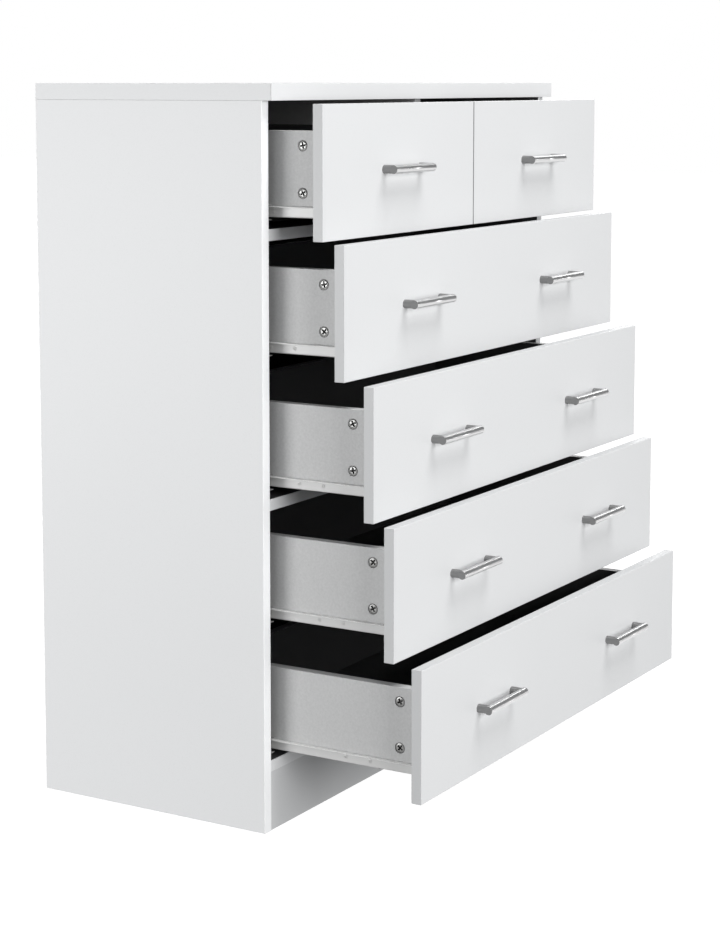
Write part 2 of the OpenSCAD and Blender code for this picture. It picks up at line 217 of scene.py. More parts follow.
def only(*pieces):
    """Selects these pieces alone, and makes the first one active."""
    bpy.ops.object.select_all(action="DESELECT")
    for piece in pieces:
        piece.select_set(True)
    bpy.context.view_layer.objects.active = pieces[0]


def named(piece, name):
    piece.name = name
    piece.data.name = name
    return piece


def settle(piece):
    only(piece)
    bpy.ops.object.transform_apply(location=True, rotation=True, scale=True)
    return piece


def block(name, low, high):
    low, high = Vector(low), Vector(high)
    bpy.ops.mesh.primitive_cube_add(size=1, location=(low + high) / 2, scale=high - low)
    return settle(named(bpy.context.object, name))


def round_bar(name, start, end, radius, sides=32):
    """A cylinder from one point to another."""
    start, end = Vector(start), Vector(end)
    bpy.ops.mesh.primitive_cylinder_add(
        vertices=sides,
        radius=radius,
        depth=(end - start).length,
        location=(start + end) / 2,
        rotation=(end - start).to_track_quat("Z", "Y").to_euler(),
    )
    return settle(named(bpy.context.object, name))


def joined(*pieces):
    only(*pieces)
    if len(pieces) > 1:
        bpy.ops.object.join()
    return bpy.context.object


def modified(piece, kind, **settings):
    """Adds a modifier to a piece and applies it."""
    only(piece)
    bpy.ops.object.modifier_add(type=kind)
    modifier = piece.modifiers[-1]
    for key, value in settings.items():
        setattr(modifier, key, value)
    bpy.ops.object.modifier_apply(modifier=modifier.name)
    return piece


def cut(piece, *cutters):
    cutter = joined(*cutters)
    modified(piece, "BOOLEAN", operation="DIFFERENCE", solver="EXACT", use_self=True, object=cutter)
    bpy.data.objects.remove(cutter)
    return piece


def eased(piece, radius, segments=2, angle=35):
    """Rounds the sharp edges and smooths the piece."""
    modified(
        piece,
        "BEVEL",
        width=radius,
        segments=segments,
        limit_method="ANGLE",
        angle_limit=math.radians(angle),
        use_clamp_overlap=True,
    )
    bpy.ops.object.shade_smooth()
    return modified(piece, "WEIGHTED_NORMAL", keep_sharp=True)


def scored(piece, place, direction):
    """Divides the faces along a plane, where one finish meets another."""
    only(piece)
    bpy.ops.object.mode_set(mode="EDIT")
    bpy.ops.mesh.select_all(action="SELECT")
    bpy.ops.mesh.bisect(plane_co=place, plane_no=direction)
    bpy.ops.object.mode_set(mode="OBJECT")
    return piece


def finished(piece, base, *zones):
    """Gives the faces their finish: the last zone whose test holds, or the base."""
    piece.data.materials.clear()
    for finish in [base, *[zone[0] for zone in zones]]:
        piece.data.materials.append(finish.material)
    for face in piece.data.polygons:
        face.material_index = 0
        for index, (_, holds) in enumerate(zones, start=1):
            if holds(face.center, face.normal):
                face.material_index = index
    return piece


def fitted(piece, body, slot, *nodes):
    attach(piece, body)
    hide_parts(*nodes)
    return piece


def solids(node):
    """The lowest and highest corners of each loose solid in a CAD node."""
    probe = bpy.data.objects.new("probe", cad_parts[node].data.copy())
    bpy.context.collection.objects.link(probe)
    only(probe)
    bpy.ops.object.mode_set(mode="EDIT")
    bpy.ops.mesh.select_all(action="SELECT")
    bpy.ops.mesh.remove_doubles(threshold=0.00001)
    bpy.ops.mesh.separate(type="LOOSE")
    bpy.ops.object.mode_set(mode="OBJECT")
    boxes = []
    for part in list(bpy.context.selected_objects):
        corners = [vertex.co for vertex in part.data.vertices]
        boxes.append((
            Vector([min(corner[axis] for corner in corners) for axis in range(3)]),
            Vector([max(corner[axis] for corner in corners) for axis in range(3)]),
        ))
        bpy.data.objects.remove(part)
    return sorted(boxes, key=lambda box: tuple(round(value, 4) for value in (*box[0], *box[1])))


BAND = 1.0 * MM
EASE = 0.6 * MM
SKIN = 1.0 * MM
NUT_PLAY = 0.05 * MM
NUT_RADIUS = 7.5 * MM
SAME_FACE = 0.2 * MM
carcass_cams = solids("carcass_fixings")


def nut_seats(low, high):
    """Cutters for the pockets of the cam nuts that sit in a carcass board.

    A nut and its bolt are one solid, and the bolt's end sticks out of the board.
    """
    seats = []
    for cam_low, cam_high in carcass_cams:
        middle = (cam_low + cam_high) / 2
        if not all(low[axis] < middle[axis] < high[axis] for axis in range(3)):
            continue
        size = cam_high - cam_low
        along = max(range(3), key=lambda index: size[index])
        across = min(range(3), key=lambda index: size[index])
        if cam_high[along] > high[along]:
            middle[along] = cam_low[along] + NUT_RADIUS
        else:
            middle[along] = cam_high[along] - NUT_RADIUS
        out = Vector((0, 0, 0))
        out[across] = 1 if abs(cam_high[across] - high[across]) < SAME_FACE else -1
        half = size[across] / 2
        seats.append(
            round_bar(
                "nut_seat",
                middle - out * (half + NUT_PLAY),
                middle + out * (half + SKIN),
                NUT_RADIUS + NUT_PLAY,
            )
        )
    return seats


back_low, back_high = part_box("back_panel")
for hand, outward in (("left", -1), ("right", 1)):
    low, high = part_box(f"{hand}_side_panel")
    panel = block(f"{hand}_side_board", low, high)
    inner = high.x if outward < 0 else low.x
    edge = back_low.x if outward < 0 else back_high.x
    rebate = block(
        "rebate",
        (min(inner - outward * SKIN, edge), back_low.y, low.z - SKIN),
        (max(inner - outward * SKIN, edge), high.y + SKIN, high.z + SKIN),
    )
    cut(panel, rebate, *nut_seats(low, high))
    scored(panel, (0, low.y + BAND, 0), (0, 1, 0))
    eased(panel, EASE)
    finished(
        panel,
        # Charcoal on the inside faces: painted shade.
        charcoal,
        (raw_board, lambda place, normal: abs(normal.z) > 0.75 or normal.y > 0.75),
        (side_white, lambda place, normal: normal.x * outward > 0.3),
        # Brighter white on the front edge strip: painted light.
        (edge_band_painted_light, lambda place, normal: place.y < low.y + BAND),
    )
    fitted(panel, "carcass", "white_board", f"{hand}_side_panel")

# ---- Top panel ----
# The thickest board, white all round, with a plastic band on its front and side edges
# and a fine seam where the bands meet at each front corner.
top_white = faced_board("top_white_melamine", (0.69, 0.695, 0.70))
top_band = faced_board("top_front_band", (0.70, 0.705, 0.71))
low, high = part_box("top_panel")
top = block("top_board", low, high)
seam = 0.35 * MM
seam_setback = 1.6 * MM
seam_y = low.y + seam_setback
corner_seams = [
    block("seam", (left, seam_y, low.z - SKIN), (right, seam_y + seam, high.z + SKIN))
    for left, right in ((low.x - SKIN, low.x + seam), (high.x - seam, high.x + SKIN))
]
back_rebate = block(
    "rebate",
    (back_low.x, back_low.y, low.z - SKIN),
    (back_high.x, high.y + SKIN, back_high.z),
)
cut(top, back_rebate, *corner_seams)
carcass_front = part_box("left_side_panel")[0].y
scored(top, (0, carcass_front, 0), (0, 1, 0))
scored(top, (0, low.y + BAND, 0), (0, 1, 0))
eased(top, EASE)
finished(
    top,
    top_white,
    (top_band, lambda place, normal: normal.y < -0.5),
    # Charcoal on the underside inside the carcass: painted shade.
    (charcoal, lambda place, normal: normal.z < -0.5 and place.y > carcass_front),
    (raw_board, lambda place, normal: normal.y > 0.75),
)
fitted(top, "carcass", "white_board", "top_panel")

# ---- Base, plinth, cross rails and divider ----
# Boards fixed between the side panels with cam nuts: charcoal like the inside, as painted shade, with
# a white band on the front edge. The plinth is white melamine painted darker as painted shade, and
# the divider a plain grey.
# The plinth's white is darker than the other whites: painted shade, for the shade under the bottom
# drawer.
plinth_painted_shade = faced_board("plinth_white_melamine", (0.57, 0.575, 0.58))
rail_band = faced_board("rail_edge_band", (0.68, 0.685, 0.69), gloss=0.34)
divider_grey = faced_board("divider_grey_foil", (0.56, 0.56, 0.565), gloss=0.5)
for name in ("base_panel", "plinth", "upper_cross_rail", "lower_cross_rail", "centre_divider"):
    low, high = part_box(name)
    board = block(name.replace("panel", "board"), low, high)
    seats = nut_seats(low, high)
    if seats:
        cut(board, *seats)
    scored(board, (0, low.y + BAND, 0), (0, 1, 0))
    eased(board, EASE)
    if name == "plinth":
        # Darker white on the plinth: painted shade.
        finished(board, plinth_painted_shade)
    elif name == "centre_divider":
        finished(board, divider_grey)
    else:
        # Charcoal on the rails and base: painted shade.
        finished(board, charcoal, (rail_band, lambda place, normal: place.y < low.y + BAND))
    slot = "dark_board" if name == "centre_divider" else "white_board"
    fitted(board, "carcass", slot, name)

# ---- Cam fixings of the carcass ----
# Zinc cam nuts and bolts, each nut turned tight in its pocket. They keep their drawn
# shape and take the blotchy zinc plating.
def plated(name, colour, rough=0.34):
    """Zinc plating: metal with a spangle of lighter and duller patches."""
    finish = Finish(name, colour, Metallic=1.0)
    spangle = finish.noise(420, 3)
    grime = finish.noise(90, 3)
    tone = finish.mix(spangle, shade(colour, 0.82), shade(colour, 1.12))
    finish.surface(Base_Color=tone, Roughness=rough + (grime - 0.5) * 0.25)
    finish.relief(spangle, 0.00003)
    return finish


zinc = plated("zinc_plating", (0.72, 0.72, 0.71))
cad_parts["carcass_fixings"].data.materials.clear()
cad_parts["carcass_fixings"].data.materials.append(zinc.material)


# ---- Back panel and its screws ----
# Hardboard in the rebates, charcoal towards the drawers as painted shade and raw brown behind,
# held by countersunk screws along its edges.
def hardboard(name, colour):
    finish = Finish(name, colour)
    fibre = finish.noise(900, 3, stretch=(1, 1, 0.35))
    patch = finish.noise(14, 3)
    tone = finish.mix(fibre, shade(colour, 0.7), shade(colour, 1.3))
    tone = finish.mix(patch * 0.5, tone, shade(colour, 0.85))
    finish.surface(Base_Color=tone, Roughness=0.62 + (fibre - 0.5) * 0.3)
    finish.relief(fibre, 0.0001)
    return finish


raw_brown = hardboard("raw_hardboard", (0.33, 0.205, 0.115))
dark_screw = plated("dark_screw_steel", (0.42, 0.42, 0.41), rough=0.4)
recess_dark = Finish("recess_shadow", (0.03, 0.03, 0.03), Metallic=0.6, Roughness=0.6)
recess_dark.surface(Roughness=0.5 + recess_dark.noise(500) * 0.3)


RECESS_DEPTH = 1.2 * MM
RECESS_TURN = 20


def cross_recess(place, reach, width, depth, turn):
    """Two crossing cutters that point along +X, for a recess in a face at that place."""
    arms = []
    for quarter in (0, 90):
        arm = block(
            "arm",
            Vector((-depth, -reach, -width / 2)),
            Vector((SKIN, reach, width / 2)),
        )
        arm.rotation_euler = (math.radians(turn + quarter), 0, 0)
        arm.location = place
        arms.append(settle(arm))
    return arms


def pick_front(piece):
    """Opens a piece in edit mode with only the faces that look along +X selected."""
    only(piece)
    bpy.ops.object.mode_set(mode="EDIT")
    bpy.ops.mesh.select_mode(type="FACE")
    bpy.ops.mesh.select_all(action="DESELECT")
    bpy.ops.object.mode_set(mode="OBJECT")
    for face in piece.data.polygons:
        face.select = face.normal.x > 0.9
    bpy.ops.object.mode_set(mode="EDIT")


SCREW_SIDES = 20
HEAD_SEATED = 0.2 * MM


def screw_head(name, radius, height, dome, finish):
    """A cross-recessed head that faces +X, with the surface it sits on at x = 0."""
    head = round_bar(name, (-HEAD_SEATED, 0, 0), (height, 0, 0), radius, sides=SCREW_SIDES)
    pick_front(head)
    bpy.ops.mesh.inset(thickness=radius * 0.35, depth=dome * 0.7)
    bpy.ops.mesh.inset(thickness=radius * 0.3, depth=dome * 0.3)
    bpy.ops.object.mode_set(mode="OBJECT")
    recess = cross_recess(
        (height + dome, 0, 0), radius * 0.55, radius * 0.24, RECESS_DEPTH, RECESS_TURN
    )
    cut(head, *recess)
    eased(head, radius * 0.06, segments=1, angle=50)
    return finished(
        head,
        finish,
        (recess_dark, lambda place, normal: place.x < height * 0.4 and normal.x > 0.5),
    )


def copied(model, name, place, facing, spin=0.0):
    """A copy of a model that faces +X, turned to face another way and put in its place."""
    piece = model.copy()
    piece.data = model.data.copy()
    bpy.context.collection.objects.link(piece)
    turned = Vector(facing).to_track_quat("X", "Z").to_matrix().to_4x4()
    piece.matrix_world = Matrix.Translation(place) @ turned @ Matrix.Rotation(spin, 4, "X")
    return settle(named(piece, name))


SINK_DEPTH = 1.6 * MM
SINK_RADIUS = 3.05 * MM
HEAD_DEPTH = 1.2 * MM
panel = block("back_board", back_low, back_high)
back_screws = solids("back_panel_screws")
cut(
    panel,
    *[
        round_bar(
            "sink",
            ((low.x + high.x) / 2, high.y - SINK_DEPTH, (low.z + high.z) / 2),
            ((low.x + high.x) / 2, high.y + SKIN, (low.z + high.z) / 2),
            SINK_RADIUS,
            sides=SCREW_SIDES,
        )
        for low, high in back_screws
    ],
)
eased(panel, 0.3 * MM)
# Charcoal on the face towards the drawers: painted shade.
finished(panel, raw_brown, (charcoal, lambda place, normal: normal.y < -0.5))
fitted(panel, "carcass", "raw_hardboard", "back_panel")

sunk_head = screw_head("sunk_screw", 3.0 * MM, 1.0 * MM, 0.0, dark_screw)
heads = [
    copied(
        sunk_head,
        "back_screw",
        ((low.x + high.x) / 2, high.y - HEAD_DEPTH, (low.z + high.z) / 2),
        (0, 1, 0),
        spin=0.7 * index,
    )
    for index, (low, high) in enumerate(back_screws)
]
fitted(named(joined(*heads), "back_panel_screw_heads"), "carcass", "zinc", "back_panel_screws")


# ---- Cabinet runners ----
# Rolled steel channels screwed to the side panels and the divider, one on each side of
# every drawer, each with a riveted pin near its front end for its roller.
def coated(name, colour):
    """Powder coat on sheet steel: a fine pebble, worn a little duller in patches."""
    finish = Finish(name, colour)
    pebble = finish.noise(700, 2)
    rub = finish.noise(30, 3, stretch=(1, 0.25, 1))
    tone = finish.mix(rub, shade(colour, 0.9), shade(colour, 1.06))
    finish.surface(Base_Color=tone, Roughness=0.36 + (rub - 0.5) * 0.2)
    finish.relief(pebble, 0.00005)
    return finish


SHEET = 1.2 * MM
FOLD = 1.3 * MM


SAME_LINE = 1e-6


def pick_edges(piece, holds):
    """Opens a piece in edit mode with only the edges selected whose two ends pass the test."""
    only(piece)
    bpy.ops.object.mode_set(mode="EDIT")
    bpy.ops.mesh.select_mode(type="EDGE")
    bpy.ops.mesh.select_all(action="DESELECT")
    bpy.ops.object.mode_set(mode="OBJECT")
    for edge in piece.data.edges:
        edge.select = holds(*[piece.data.vertices[index].co for index in edge.vertices])
    bpy.ops.object.mode_set(mode="EDIT")


def folded_sheet(name, web_low, web_high, top_flange, foot, hand):
    """Sheet folded along Y: an upright web between two points, and a flange at each edge.

    The flanges' reaches are along X, and hand turns them for the other side of a drawer.
    """
    middle = (web_low + web_high) / 2
    bpy.ops.mesh.primitive_plane_add(size=1, location=middle, rotation=(0, math.radians(90), 0))
    sheet = settle(named(bpy.context.object, name))
    size = web_high - web_low
    for corner in sheet.data.vertices:
        corner.co.y = middle.y + (corner.co.y - middle.y) * size.y
        corner.co.z = middle.z + (corner.co.z - middle.z) * size.z

    def on_web(corner):
        return abs(corner.x - middle.x) < SAME_LINE

    def at_height(edge_z):
        return lambda *ends: all(on_web(end) and abs(end.z - edge_z) < SAME_LINE for end in ends)

    for edge_z, reach in ((web_high.z, top_flange), (web_low.z, foot)):
        pick_edges(sheet, at_height(edge_z))
        bpy.ops.mesh.extrude_region_move(TRANSFORM_OT_translate={"value": (reach * hand, 0, 0)})
        bpy.ops.object.mode_set(mode="OBJECT")
    pick_edges(
        sheet,
        lambda first, last: abs(first.y - last.y) > size.y / 2 and on_web(first) and on_web(last),
    )
    bpy.ops.mesh.bevel(offset=FOLD, segments=4, affect="EDGES")
    bpy.ops.mesh.select_all(action="SELECT")
    bpy.ops.mesh.normals_make_consistent(inside=False)
    bpy.ops.object.mode_set(mode="OBJECT")
    return modified(sheet, "SOLIDIFY", thickness=SHEET, offset=0.0)


PIN_RADIUS = 2.5 * MM
PIN_HEAD_RADIUS = 4.5 * MM
PIN_HEAD = 0.9 * MM


def pin(start, end):
    """A roller's pin from its web to its riveted head."""
    start, end = Vector(start), Vector(end)
    along = (end - start).normalized()
    shank = round_bar("rivet", start, end, PIN_RADIUS, sides=24)
    cap = round_bar("rivet", end - along * PIN_HEAD, end, PIN_HEAD_RADIUS, sides=24)
    return joined(shank, cap)


# Each channel and its screws are one solid in the CAD, and the screws' points go past the
# board's face, so the web stands on the face.
CABINET_SCREWS = (58 * MM, 288 * MM)
ROLLER_INSET = 12 * MM
ROLLER_RISE = 8.3 * MM
CABINET_PIN = 10 * MM
PAN_RADIUS = 3.0 * MM
PAN_HEIGHT = 0.35 * MM
PAN_DOME = 0.4 * MM
SHEET_EASE = 0.12 * MM
board_faces = (
    (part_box("left_side_panel")[1].x, 1),
    (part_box("centre_divider")[0].x, -1),
    (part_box("centre_divider")[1].x, 1),
    (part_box("right_side_panel")[0].x, -1),
)
# The channels and their screws take a dark grey: painted shade, for the shade inside the carcass.
channel_painted_shade = coated("channel_coat_painted_shade", (0.24, 0.24, 0.24))
pan_head = screw_head("pan_screw", PAN_RADIUS, PAN_HEIGHT, PAN_DOME, channel_painted_shade)
parts = []
for low, high in solids("cabinet_runners"):
    face, hand = [(x, way) for x, way in board_faces if low.x < x < high.x][0]
    web = face + hand * SHEET / 2
    reach = (high.x - face if hand > 0 else face - low.x) - SHEET / 2
    channel = folded_sheet(
        "channel",
        Vector((web, low.y, low.z + SHEET / 2)),
        Vector((web, high.y, high.z - SHEET / 2)),
        reach,
        reach,
        hand,
    )
    roller_z = low.z + SHEET + ROLLER_RISE
    seat = Vector((web, low.y + ROLLER_INSET, roller_z))
    parts += [channel, pin(seat, seat + Vector((hand * CABINET_PIN, 0, 0)))]
    for index, distance in enumerate(CABINET_SCREWS):
        place = (face + hand * SHEET, low.y + distance, roller_z)
        parts.append(copied(pan_head, "screw", place, (hand, 0, 0), spin=0.9 * index))
runners = joined(*parts)
named(runners, "cabinet_runner_channels")
eased(runners, SHEET_EASE, segments=1, angle=60)
# Dark grey: painted shade.
finished(runners, channel_painted_shade)
fitted(runners, "carcass", "white_steel", "cabinet_runners")

# ---- Drawer fronts ----
# White melamine boards, a shade quieter than the carcass, with a plastic band round all
# four edges whose darker grey is painted shade, and a groove behind for the drawer bottom.
DRAWERS = (
    "upper_left_drawer",
    "upper_right_drawer",
    "second_drawer",
    "third_drawer",
    "fourth_drawer",
    "fifth_drawer",
)
BOTTOM_PLAY = 0.1 * MM
GROOVE_END = 0.4 * MM
front_white = faced_board("front_white_melamine", (0.67, 0.675, 0.68))
# The edge band is a darker grey than the face: painted shade on the edges.
front_edge_painted_shade = faced_board("front_edge_band_painted_shade", (0.51, 0.515, 0.52), gloss=0.36)
for drawer in DRAWERS:
    low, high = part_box(f"{drawer}_front")
    bottom_low, bottom_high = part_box(f"{drawer}_bottom")
    front = block(f"{drawer}_front_board", low, high)
    groove = block(
        "groove",
        (bottom_low.x - GROOVE_END, bottom_low.y - GROOVE_END, bottom_low.z - BOTTOM_PLAY),
        (bottom_high.x + GROOVE_END, high.y + SKIN, bottom_high.z + BOTTOM_PLAY),
    )
    cut(front, groove)
    eased(front, EASE)
    finished(
        front,
        front_white,
        # Darker grey on all four edges: painted shade.
        (front_edge_painted_shade, lambda place, normal: abs(normal.x) > 0.75 or abs(normal.z) > 0.75),
    )
    fitted(front, drawer, "white_board", f"{drawer}_front")

# ---- Drawer boxes ----
# Two sides and a back of thinner board, wrapped in grey foil outside and charcoal inside as painted
# shade, with a lighter grey on the top edges as a painted highlight. The sides are grooved for the
# bottom, and take the cam nuts that hold the front.
box_grey = faced_board(
    "drawer_side_grey_foil", (0.52, 0.522, 0.522), gloss=0.46, drift=0.04, speck=0.08, grain=0.08
)
# The top edges of the drawer boards take a lighter grey: a painted highlight.
box_top_painted_light = faced_board("drawer_board_top_painted_light", (0.56, 0.562, 0.564), gloss=0.45, drift=0.05)
BOX_BOARD = 15 * MM
GROOVE = 5 * MM
NUT_DEPTH = 12 * MM
BACK_SINK_DEPTH = 2.05 * MM
BACK_SINK_RADIUS = 3.55 * MM
BOX_EASE = 0.5 * MM
TOP_STRIP = 0.4 * MM
LONG = 30 * MM


def drawer_fixings(drawer):
    """The cams, back screws and runner screws of one drawer, as boxes."""
    kinds = {"cam": [], "back_screw": [], "runner_screw": []}
    for low, high in solids(f"{drawer}_fixings"):
        size = high - low
        if size.y > LONG:
            kinds["cam"].append((low, high))
        elif size.x > LONG:
            kinds["back_screw"].append((low, high))
        else:
            kinds["runner_screw"].append((low, high))
    return kinds


def placed(fixing, low, high):
    """A fixing's middle, its hand, and the outer face of the drawer box on that hand."""
    centre = (fixing[0] + fixing[1]) / 2
    hand = -1 if centre.x < (low.x + high.x) / 2 else 1
    return centre, hand, low.x if hand < 0 else high.x


fixings = {drawer: drawer_fixings(drawer) for drawer in DRAWERS}
for drawer in DRAWERS:
    low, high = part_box(f"{drawer}_box")
    bottom_low, bottom_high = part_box(f"{drawer}_bottom")
    boards = []
    for hand in (-1, 1):
        outer = low.x if hand < 0 else high.x
        inner = outer - hand * BOX_BOARD
        side = block(
            "side", (min(outer, inner), low.y, low.z), (max(outer, inner), high.y, high.z)
        )
        groove_ends = (inner - hand * SKIN, inner + hand * GROOVE)
        cutters = [
            block(
                "groove",
                (min(groove_ends), low.y - SKIN, bottom_low.z - BOTTOM_PLAY),
                (max(groove_ends), high.y + SKIN, bottom_high.z + BOTTOM_PLAY),
            )
        ]
        for cam in fixings[drawer]["cam"]:
            centre, cam_hand, _ = placed(cam, low, high)
            nut_y = cam[1].y - NUT_RADIUS
            if cam_hand == hand:
                cutters.append(
                    round_bar(
                        "seat",
                        (outer - hand * (NUT_DEPTH + NUT_PLAY), nut_y, centre.z),
                        (outer + hand * SKIN, nut_y, centre.z),
                        NUT_RADIUS + NUT_PLAY,
                    )
                )
        for screw in fixings[drawer]["back_screw"]:
            centre, screw_hand, _ = placed(screw, low, high)
            if screw_hand == hand:
                cutters.append(
                    round_bar(
                        "sink",
                        (outer - hand * BACK_SINK_DEPTH, centre.y, centre.z),
                        (outer + hand * SKIN, centre.y, centre.z),
                        BACK_SINK_RADIUS,
                        sides=SCREW_SIDES,
                    )
                )
        cut(side, *cutters)
        eased(side, BOX_EASE)
        finished(
            side,
            box_grey,
            # Charcoal on the inside faces: painted shade.
            (charcoal, lambda place, normal: normal.x * hand < -0.3),
            # Lighter grey on the top edge: painted highlight.
            (box_top_painted_light, lambda place, normal: normal.z > 0.75 and place.z > high.z - TOP_STRIP),
        )
        boards.append(side)
    rear = block(
        "rear",
        (low.x + BOX_BOARD, high.y - BOX_BOARD, bottom_high.z + BOTTOM_PLAY),
        (high.x - BOX_BOARD, high.y, high.z),
    )
    eased(rear, BOX_EASE)
    # Charcoal on the rear board is painted shade, and the lighter grey on its top edge a painted
    # highlight.
    finished(rear, charcoal, (box_top_painted_light, lambda place, normal: normal.z > 0.75))
    boards.append(rear)
    box = named(joined(*boards), f"{drawer}_side_and_back_boards")
    fitted(box, drawer, "grey_board", f"{drawer}_box")

# ---- Drawer bottoms ----
# Thin hardboard slid into the grooves, faced with charcoal foil on both sides.
for drawer in DRAWERS:
    low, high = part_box(f"{drawer}_bottom")
    bottom = block(f"{drawer}_bottom_board", low, high)
    eased(bottom, 0.25 * MM)
    finished(bottom, charcoal)
    fitted(bottom, drawer, "dark_board", f"{drawer}_bottom")

# ---- Cam nuts, bolts and screws of the drawers ----
# Die-cast zinc nuts in the drawer sides, each with a raised face set a little off the
# middle of its pocket and a cross recess, and the screws of the back and the runners.
# The drawer nuts' zinc is much darker than the carcass nuts' zinc: painted shade.
nut_zinc_painted_shade = plated("cam_nut_zinc", (0.17, 0.17, 0.168), rough=0.36)
# The nuts' flanks and sunk rim are darker still: painted shade for the gap in the pocket.
nut_flank_painted_shade = plated("cam_nut_flank", (0.09, 0.09, 0.088), rough=0.5)
NUT_SUNK = 0.9 * MM
NUT_RIM = 0.95 * MM
NUT_STEP = 0.2 * MM
OFFSET = 0.35 * MM


def cam_nut(hand, turn):
    """A nut that faces +X, with its raised face set forwards and up for that hand's side."""
    nut = round_bar("cam_nut", (-NUT_DEPTH, 0, 0), (-NUT_SUNK, 0, 0), NUT_RADIUS - NUT_PLAY, sides=40)
    pick_front(nut)
    bpy.ops.mesh.inset(thickness=NUT_RIM, depth=0)
    bpy.ops.transform.translate(value=(0, -hand * OFFSET, OFFSET))
    bpy.ops.mesh.extrude_region_move(TRANSFORM_OT_translate={"value": (NUT_STEP, 0, 0)})
    for step, rise in ((0.7, 0.32), (0.8, 0.22), (1.0, 0.1)):
        bpy.ops.mesh.inset(thickness=step * MM, depth=rise * MM)
    bpy.ops.object.mode_set(mode="OBJECT")
    cut(nut, *cross_recess((0, -hand * OFFSET, OFFSET), 4.5 * MM, 2.5 * MM, 2.6 * MM, turn))
    eased(nut, 0.12 * MM, segments=1, angle=50)
    return finished(
        nut,
        # Near-black flanks and rim: painted shade.
        nut_flank_painted_shade,
        # Darkened zinc on the raised face: painted shade.
        (nut_zinc_painted_shade, lambda place, normal: place.x > -0.72 * MM),
        (recess_dark, lambda place, normal: place.x < -1.1 * MM and place.yz.length < 5 * MM),
    )


BOLT_LENGTH = 30 * MM
BOLT_RADIUS = 3.0 * MM
BACK_HEAD_DEPTH = 1.2 * MM
RUNNER_HEAD_PROUD = 0.8 * MM
cam_bolt = round_bar("cam_bolt", (0, 0, 0), (BOLT_LENGTH, 0, 0), BOLT_RADIUS, sides=16)
eased(cam_bolt, 0.6 * MM)
finished(cam_bolt, zinc)
box_head = screw_head("box_screw", 3.4 * MM, 0.8 * MM, 0.0, dark_screw)
runner_grey = coated("runner_powder_coat", (0.53, 0.53, 0.525))
runner_head = screw_head("runner_screw", PAN_RADIUS, PAN_HEIGHT, PAN_DOME, runner_grey)
TURNS = (28, 12, 52, 12, 28, 52)
nut_models = {(hand, turn): cam_nut(hand, turn) for hand in (-1, 1) for turn in TURNS[:3]}
for index, drawer in enumerate(DRAWERS):
    low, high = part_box(f"{drawer}_box")
    parts = []
    for count, cam in enumerate(fixings[drawer]["cam"]):
        centre, hand, outer = placed(cam, low, high)
        model = nut_models[hand, TURNS[(index + count) % len(TURNS)]]
        parts.append(copied(model, "nut", (outer, cam[1].y - NUT_RADIUS, centre.z), (hand, 0, 0)))
        bolt_x = outer - hand * BOX_BOARD / 2
        parts.append(copied(cam_bolt, "bolt", (bolt_x, cam[0].y, centre.z), (0, 1, 0)))
    for count, screw in enumerate(fixings[drawer]["back_screw"]):
        centre, hand, outer = placed(screw, low, high)
        place = (outer - hand * BACK_HEAD_DEPTH, centre.y, centre.z)
        parts.append(copied(box_head, "screw", place, (hand, 0, 0), spin=count))
    for count, screw in enumerate(fixings[drawer]["runner_screw"]):
        centre, hand, _ = placed(screw, low, high)
        end_x = screw[0].x if hand < 0 else screw[1].x
        place = (end_x - hand * RUNNER_HEAD_PROUD, centre.y, centre.z)
        parts.append(copied(runner_head, "screw", place, (hand, 0, 0), spin=0.8 * count))
    fitted(named(joined(*parts), f"{drawer}_nuts_and_screws"), drawer, "zinc", f"{drawer}_fixings")

# ---- Drawer runners ----
# Folded steel under each drawer side: a foot that carries the board, a web screwed to
# its face and a flange that runs on the cabinet's roller, with a pinned roller behind.
# The upward faces of the runners take a lighter grey than the web: a painted highlight.
flange_top_painted_light = coated("runner_top_painted_light", (0.80, 0.80, 0.79))
WEB_HEIGHT = 15 * MM
TOP_FLANGE = 8.5 * MM
FOOT = 10 * MM
DRAWER_PIN = 10.6 * MM
for drawer in DRAWERS:
    low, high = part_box(f"{drawer}_box")
    rear_low, rear_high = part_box(f"{drawer}_rear_rollers")
    parts = []
    for hand in (-1, 1):
        face = low.x if hand < 0 else high.x
        web = face + hand * SHEET / 2
        bottom_z = low.z - SHEET / 2
        top_z = low.z - SHEET + WEB_HEIGHT - SHEET / 2
        rail = folded_sheet(
            "rail",
            Vector((web, low.y, bottom_z)),
            Vector((web, high.y, top_z)),
            TOP_FLANGE - SHEET / 2,
            -(FOOT + SHEET / 2),
            hand,
        )
        seat = Vector((web, (rear_low.y + rear_high.y) / 2, (rear_low.z + rear_high.z) / 2))
        end = seat + Vector((hand * (DRAWER_PIN - SHEET / 2), 0, 0))
        parts += [rail, pin(seat, end)]
    rails = named(joined(*parts), f"{drawer}_runner_rails")
    eased(rails, SHEET_EASE, segments=1, angle=60)
    # Lighter grey on the upward faces: painted highlight.
    finished(rails, runner_grey, (flange_top_painted_light, lambda place, normal: normal.z > 0.6))
    fitted(rails, drawer, "white_steel", f"{drawer}_runners")

